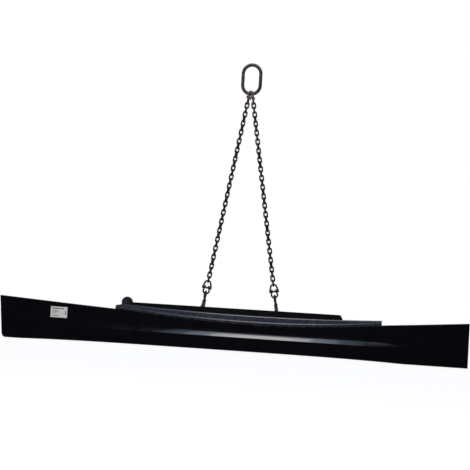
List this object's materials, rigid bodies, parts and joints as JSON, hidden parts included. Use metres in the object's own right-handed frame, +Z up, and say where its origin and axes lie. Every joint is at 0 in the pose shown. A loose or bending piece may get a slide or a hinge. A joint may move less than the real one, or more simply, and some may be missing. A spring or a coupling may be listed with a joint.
{
  "type": "spreader beam",
  "caption": "Long lifting beam with a shaped gloss front cover, hung by two lugs from a two-leg chain sling with master link, couplers and latch hooks.",
  "frame": {"origin": "where a crane hook bears on the inside top of the master link; the part hangs from there", "axes": "+X along the beam to its right as seen from the covered front, +Z up, -Y towards the covered front"},
  "size_m": [2.44, 0.1618, 1.5133],
  "materials": {
    "master_steel": "worn dark red-brown paint",
    "coupler_red": "worn red paint",
    "pin_steel": "dark oiled steel",
    "bright_steel": "plain steel",
    "chain_black": "black lacquered alloy steel",
    "hook_black": "black satin",
    "latch_steel": "zinc plate",
    "frame_black": "satin black",
    "cover_gloss": "deep gloss black",
    "ledge_satin": "semi-gloss blue-black",
    "rail_satin": "satin black",
    "zinc_steel": "zinc plate",
    "label_white": "matte off-white"
  },
  "bodies": {
    "master_link": {"master_link": "master_steel"},
    "left_top_coupler": {"left_top_upper_half": "coupler_red", "left_top_lower_half": "coupler_red", "left_top_pin": "pin_steel", "left_top_bush": "bright_steel"},
    "left_chain_1": {"left_chain_1": "chain_black"},
    "left_chain_2": {"left_chain_2": "chain_black"},
    "left_chain_3": {"left_chain_3": "chain_black"},
    "left_chain_4": {"left_chain_4": "chain_black"},
    "left_chain_5": {"left_chain_5": "chain_black"},
    "left_bottom_coupler": {"left_bottom_upper_half": "coupler_red", "left_bottom_lower_half": "coupler_red", "left_bottom_pin": "pin_steel", "left_bottom_bush": "bright_steel"},
    "left_hook": {"left_hook": "hook_black", "left_latch_pin": "bright_steel", "left_latch_spring": "bright_steel"},
    "left_latch": {"left_latch": "latch_steel"},
    "right_top_coupler": {"right_top_upper_half": "coupler_red", "right_top_lower_half": "coupler_red", "right_top_pin": "pin_steel", "right_top_bush": "bright_steel"},
    "right_chain_1": {"right_chain_1": "chain_black"},
    "right_chain_2": {"right_chain_2": "chain_black"},
    "right_chain_3": {"right_chain_3": "chain_black"},
    "right_chain_4": {"right_chain_4": "chain_black"},
    "right_chain_5": {"right_chain_5": "chain_black"},
    "right_bottom_coupler": {"right_bottom_upper_half": "coupler_red", "right_bottom_lower_half": "coupler_red", "right_bottom_pin": "pin_steel", "right_bottom_bush": "bright_steel"},
    "right_hook": {"right_hook": "hook_black", "right_latch_pin": "bright_steel", "right_latch_spring": "bright_steel"},
    "right_latch": {"right_latch": "latch_steel"},
    "beam": {"left_lifting_lug": "frame_black", "right_lifting_lug": "frame_black", "left_load_lug": "frame_black", "right_load_lug": "frame_black", "spine_tube": "frame_black", "left_spine_cap": "frame_black", "right_spine_cap": "frame_black", "ribs": "frame_black", "rail_brackets": "frame_black", "left_end_plate": "frame_black", "right_end_plate": "frame_black", "front_skin": "cover_gloss", "ledge_cap": "ledge_satin", "lug_rail": "rail_satin", "rail_stop": "ledge_satin", "cover_bolts": "zinc_steel", "cover_nuts": "zinc_steel", "rail_bolts": "zinc_steel", "rail_nuts": "zinc_steel", "rating_label": "label_white"}
  },
  "joints": [
    {"name": "left_side_sway", "type": "hinge", "parent": "master_link", "child": "left_top_coupler", "pos_m": [0, 0, -0.0975], "axis": [0, 1, 0], "range_deg": [-15, 15]},
    {"name": "left_swing", "type": "hinge", "parent": "left_top_coupler", "child": "left_chain_1", "pos_m": [-0.01514, 0, -0.18906], "axis": [1, 0, 0], "range_deg": [-30, 30]},
    {"name": "left_fold_1", "type": "hinge", "parent": "left_chain_1", "child": "left_chain_2", "pos_m": [-0.04645, 0, -0.37849], "axis": [1, 0, 0], "range_deg": [-40, 40]},
    {"name": "left_fold_2", "type": "hinge", "parent": "left_chain_2", "child": "left_chain_3", "pos_m": [-0.07777, 0, -0.56791], "axis": [1, 0, 0], "range_deg": [-22, 22]},
    {"name": "left_fold_3", "type": "hinge", "parent": "left_chain_3", "child": "left_chain_4", "pos_m": [-0.10909, 0, -0.75734], "axis": [1, 0, 0], "range_deg": [-42, 42]},
    {"name": "left_fold_4", "type": "hinge", "parent": "left_chain_4", "child": "left_chain_5", "pos_m": [-0.1404, 0, -0.94677], "axis": [1, 0, 0], "range_deg": [-22, 22]},
    {"name": "left_fold_5", "type": "hinge", "parent": "left_chain_5", "child": "left_bottom_coupler", "pos_m": [-0.17165, 0, -1.13581], "axis": [1, 0, 0], "range_deg": [-42, 42]},
    {"name": "left_hook_swing", "type": "hinge", "parent": "left_bottom_coupler", "child": "left_hook", "pos_m": [-0.18291, 0, -1.20388], "axis": [1, 0, 0], "range_deg": [-20, 20]},
    {"name": "left_latch_swing", "type": "hinge", "parent": "left_hook", "child": "left_latch", "pos_m": [-0.18928, 0.009, -1.24246], "axis": [0.9866, 0, -0.1631], "range_deg": [0, 40], "stiffness_Nm_per_rad": 0.12, "springref_deg": -20.05},
    {"name": "right_side_sway", "type": "hinge", "parent": "master_link", "child": "right_top_coupler", "pos_m": [0, 0, -0.0975], "axis": [0, 1, 0], "range_deg": [-17, 17]},
    {"name": "right_swing", "type": "hinge", "parent": "right_top_coupler", "child": "right_chain_1", "pos_m": [0.01514, 0, -0.18906], "axis": [1, 0, 0], "range_deg": [-32, 32]},
    {"name": "right_fold_1", "type": "hinge", "parent": "right_chain_1", "child": "right_chain_2", "pos_m": [0.04645, 0, -0.37849], "axis": [1, 0, 0], "range_deg": [-42, 42]},
    {"name": "right_fold_2", "type": "hinge", "parent": "right_chain_2", "child": "right_chain_3", "pos_m": [0.07777, 0, -0.56791], "axis": [1, 0, 0], "range_deg": [-22, 22]},
    {"name": "right_fold_3", "type": "hinge", "parent": "right_chain_3", "child": "right_chain_4", "pos_m": [0.10909, 0, -0.75734], "axis": [1, 0, 0], "range_deg": [-42, 42]},
    {"name": "right_fold_4", "type": "hinge", "parent": "right_chain_4", "child": "right_chain_5", "pos_m": [0.1404, 0, -0.94677], "axis": [1, 0, 0], "range_deg": [-22, 22]},
    {"name": "right_fold_5", "type": "hinge", "parent": "right_chain_5", "child": "right_bottom_coupler", "pos_m": [0.17165, 0, -1.13581], "axis": [1, 0, 0], "range_deg": [-42, 42]},
    {"name": "right_hook_swing", "type": "hinge", "parent": "right_bottom_coupler", "child": "right_hook", "pos_m": [0.18291, 0, -1.20388], "axis": [1, 0, 0], "range_deg": [-22, 22]},
    {"name": "right_latch_swing", "type": "hinge", "parent": "right_hook", "child": "right_latch", "pos_m": [0.18928, 0.009, -1.24246], "axis": [0.9866, 0, 0.1631], "range_deg": [0, 40], "stiffness_Nm_per_rad": 0.12, "springref_deg": -20.05},
    {"name": "beam_tip", "type": "hinge", "parent": "left_hook", "child": "beam", "pos_m": [-0.19516, 0, -1.27798], "axis": [1, 0, 0], "range_deg": [-20, 20]}
  ],
  "couplings": [
    {"joint": "right_side_sway", "follows": "left_side_sway", "ratio": 1},
    {"joint": "right_swing", "follows": "left_swing", "ratio": 1},
    {"joint": "left_fold_2", "follows": "left_fold_1", "ratio": -0.5},
    {"joint": "left_fold_3", "follows": "left_fold_1", "ratio": -1},
    {"joint": "left_fold_4", "follows": "left_fold_1", "ratio": -0.5},
    {"joint": "left_fold_5", "follows": "left_fold_1", "ratio": 1},
    {"joint": "right_fold_1", "follows": "left_fold_1", "ratio": 1},
    {"joint": "right_fold_2", "follows": "left_fold_1", "ratio": -0.5},
    {"joint": "right_fold_3", "follows": "left_fold_1", "ratio": -1},
    {"joint": "right_fold_4", "follows": "left_fold_1", "ratio": -0.5},
    {"joint": "right_fold_5", "follows": "left_fold_1", "ratio": 1},
    {"joint": "right_hook_swing", "follows": "left_hook_swing", "ratio": 1}
  ]
}
